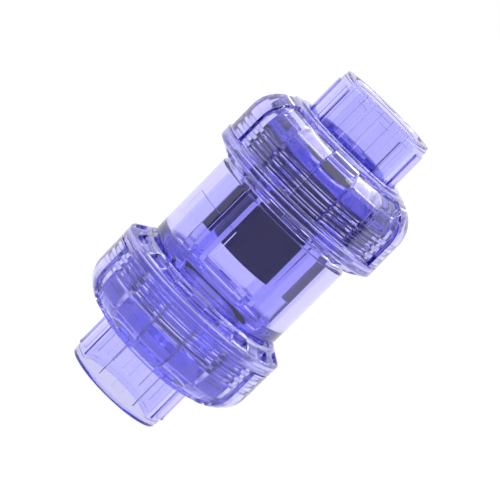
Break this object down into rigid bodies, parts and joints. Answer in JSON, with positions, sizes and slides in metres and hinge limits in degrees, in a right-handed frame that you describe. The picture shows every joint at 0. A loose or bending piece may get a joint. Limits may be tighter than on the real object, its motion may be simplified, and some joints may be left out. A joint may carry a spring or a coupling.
{
  "type": "true union check valve",
  "caption": "Clear plastic true-union check valve with a dark sliding piston between two lugged union nuts and solvent sockets.",
  "frame": {"origin": "centre of the outlet rim's plane, where the valve stands upright", "axes": "+Z along the flow axis from the outlet towards the inlet; -Y is the side towards a viewer who sees the label pad on the left"},
  "size_m": [0.078, 0.078, 0.15],
  "materials": {
    "clear_pvc": "clear violet-blue tinted rigid PVC, moulded and glossy",
    "dark_plastic": "blue-black moulded plastic, satin",
    "black_rubber": "black EPDM rubber, dull"
  },
  "bodies": {
    "body": {"valve_body": "clear_pvc", "seat_carrier": "dark_plastic", "seat_carrier_o_ring": "black_rubber", "inlet_face_o_ring": "black_rubber", "outlet_face_o_ring": "black_rubber"},
    "piston": {"piston": "dark_plastic", "piston_seal_disc": "black_rubber", "seal_retaining_washer": "dark_plastic", "seal_retaining_screw": "dark_plastic"},
    "inlet_connector": {"inlet_end_connector": "clear_pvc"},
    "inlet_nut": {"inlet_union_nut": "clear_pvc"},
    "outlet_connector": {"outlet_end_connector": "clear_pvc"},
    "outlet_nut": {"outlet_union_nut": "clear_pvc"}
  },
  "joints": [
    {"name": "piston_travel", "type": "slide", "parent": "body", "child": "piston", "axis": [0, 0, -1], "range_m": [0, 0.01]},
    {"name": "inlet_union_draw", "type": "slide", "parent": "body", "child": "inlet_connector", "axis": [0, 0, 1], "range_m": [0, 0.01441]},
    {"name": "inlet_nut_turn", "type": "hinge", "parent": "inlet_connector", "child": "inlet_nut", "pos_m": [0, 0, 0.11], "axis": [0, 0, 1], "range_deg": [0, 1440]},
    {"name": "outlet_union_draw", "type": "slide", "parent": "body", "child": "outlet_connector", "axis": [0, 0, -1], "range_m": [0, 0.01441]},
    {"name": "outlet_nut_turn", "type": "hinge", "parent": "outlet_connector", "child": "outlet_nut", "pos_m": [0, 0, 0.04], "axis": [0, 0, -1], "range_deg": [0, 1440]}
  ],
  "couplings": [
    {"joint": "inlet_union_draw", "follows": "inlet_nut_turn", "m_per_rad": 0.00057295},
    {"joint": "outlet_union_draw", "follows": "outlet_nut_turn", "m_per_rad": 0.00057295}
  ]
}
